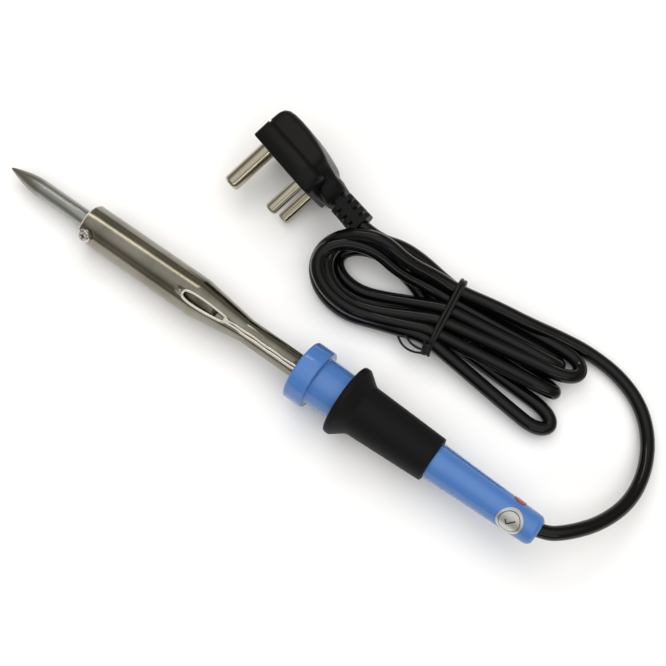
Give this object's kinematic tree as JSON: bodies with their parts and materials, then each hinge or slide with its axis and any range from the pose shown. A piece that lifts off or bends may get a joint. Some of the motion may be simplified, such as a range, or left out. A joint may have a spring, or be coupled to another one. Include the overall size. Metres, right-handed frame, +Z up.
{
  "type": "soldering iron",
  "caption": "Mains soldering iron with a slide-in copper bit held by a side screw, blue handle, rubber grip, and a tied cord with a round-pin plug.",
  "frame": {"origin": "centre of the iron's footprint on the surface it lies on, midway between the bit's point and the handle's end", "axes": "+X along the iron from the bit's point to the cord end, +Z up"},
  "size_m": [0.2753, 0.0947, 0.0335],
  "materials": {
    "bit": "nickel-plated copper, tinned at the point",
    "screw_steel": "bright nickel plate",
    "bush_steel": "plain",
    "barrel_steel": "bright nickel plate",
    "sheath_steel": "heat-stained",
    "ceramic": "unglazed",
    "mica": "layered",
    "heater_wire": "drawn",
    "handle_plastic": "smooth gloss",
    "grip_rubber": "matte",
    "sleeving": "plain",
    "core_live": "plain",
    "core_neutral": "plain",
    "core_earth": "plain",
    "cord_pvc": "glossy round jacket",
    "foil": "printed foil with a plain tick",
    "red_sticker": "smooth",
    "tie_plastic": "satin",
    "plug_plastic": "fine satin",
    "plug_rubber": "satin",
    "plated_brass": "nickel plate"
  },
  "bodies": {
    "iron": {"front_bush": "bush_steel", "barrel": "barrel_steel", "element_former": "ceramic", "element_mica_inner": "mica", "heater_winding": "heater_wire", "element_mica_outer": "mica", "element_sheath": "sheath_steel", "element_rear_insulator": "ceramic", "heater_lead_live": "heater_wire", "heater_lead_neutral": "heater_wire", "lead_beads": "ceramic", "handle_shell": "handle_plastic", "neck_sleeve": "ceramic", "neck_screws": "screw_steel", "grip_sleeve": "grip_rubber", "crimp_splice_live": "bush_steel", "crimp_splice_neutral": "bush_steel", "splice_sleeve_live": "sleeving", "splice_sleeve_neutral": "sleeving", "earth_tag": "bush_steel", "earth_rivet": "bush_steel", "mains_core_live": "core_live", "mains_core_neutral": "core_neutral", "mains_core_earth": "core_earth", "cord_clip": "sleeving", "cord_clip_screw": "screw_steel", "cord_inner_end": "cord_pvc", "round_label": "foil", "red_dot": "red_sticker", "cord_lead": "cord_pvc", "cord_hank": "cord_pvc", "cord_tail": "cord_pvc", "hank_tie": "tie_plastic", "plug_base": "plug_plastic", "plug_cover": "plug_plastic", "plug_cores": "core_live", "plug_pin_earth": "plated_brass", "plug_pin_live": "plated_brass", "plug_pin_neutral": "plated_brass", "plug_strain_relief": "plug_rubber"},
    "bit": {"tip": "bit"},
    "screw": {"tip_screw": "screw_steel", "tip_screw_washer": "screw_steel"}
  },
  "joints": [
    {"name": "tip_slide", "type": "slide", "parent": "iron", "child": "bit", "axis": [-0.9987, 0, -0.0509], "range_m": [0, 0.056]},
    {"name": "tip_screw_turn", "type": "hinge", "parent": "iron", "child": "screw", "pos_m": [-0.07962, -0.00664, 0.01422], "axis": [-0.0344, -0.7373, 0.6747], "range_deg": [0, 2160]}
  ]
}
